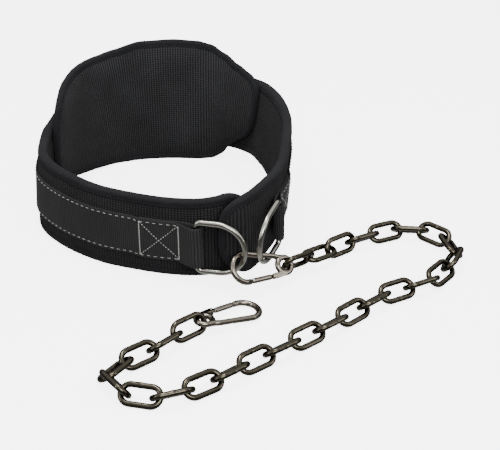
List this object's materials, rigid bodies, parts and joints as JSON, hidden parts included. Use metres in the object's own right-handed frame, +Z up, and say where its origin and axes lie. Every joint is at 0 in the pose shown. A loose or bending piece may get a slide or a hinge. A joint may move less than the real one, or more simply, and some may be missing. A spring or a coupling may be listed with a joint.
{
  "type": "dip belt",
  "caption": "Padded waist belt with a lumbar pad, D-rings joined by a snap hook, and a steel chain ending in a second snap hook, for hanging weights",
  "frame": {"origin": "on the resting surface, under the middle of the bounding box", "axes": "X to the right and Y away from the front hook; Z up, from the belt's lower edge to its upper edge"},
  "size_m": [0.5052, 0.559, 0.1587],
  "materials": {
    "knit": "coarse knit",
    "pad_knit": "ribbed knit",
    "binding": "twill tape",
    "webbing": "ribbed webbing",
    "ring_nickel": "nickel plate",
    "hook_nickel": "dull nickel plate",
    "chain_steel": "gunmetal plate"
  },
  "bodies": {
    "root": {"band_binding": "binding", "belt_band": "knit", "lumbar_pad": "pad_knit", "pad_binding": "binding", "web_strap": "webbing", "left_d_ring": "ring_nickel", "right_d_ring": "ring_nickel", "front_hook": "hook_nickel", "end_hook": "hook_nickel", "link_01": "chain_steel", "link_02": "chain_steel", "link_03": "chain_steel", "link_04": "chain_steel", "link_05": "chain_steel", "link_06": "chain_steel", "link_07": "chain_steel", "link_08": "chain_steel", "link_09": "chain_steel", "link_10": "chain_steel", "link_11": "chain_steel", "link_12": "chain_steel", "link_13": "chain_steel", "link_14": "chain_steel", "link_15": "chain_steel", "link_16": "chain_steel", "link_17": "chain_steel", "link_18": "chain_steel", "link_19": "chain_steel", "link_20": "chain_steel", "link_21": "chain_steel", "link_22": "chain_steel", "link_23": "chain_steel", "link_24": "chain_steel", "link_25": "chain_steel", "link_26": "chain_steel", "link_27": "chain_steel"},
    "front_gate": {"front_hook_gate": "hook_nickel"},
    "end_gate": {"end_hook_gate": "hook_nickel"}
  },
  "joints": [
    {"name": "front_hook_gate_hinge", "type": "hinge", "parent": "root", "child": "front_gate", "pos_m": [0.03481, -0.06492, 0.01449], "axis": [-0.4768, 0.5882, -0.6533], "range_deg": [0, 22], "stiffness_Nm_per_rad": 0.1, "springref_deg": -11.46},
    {"name": "end_hook_gate_hinge", "type": "hinge", "parent": "root", "child": "end_gate", "pos_m": [-0.03415, -0.12724, 0.00977], "axis": [-0.107, -0.0681, -0.9919], "range_deg": [0, 25], "stiffness_Nm_per_rad": 0.1, "springref_deg": -11.46}
  ]
}
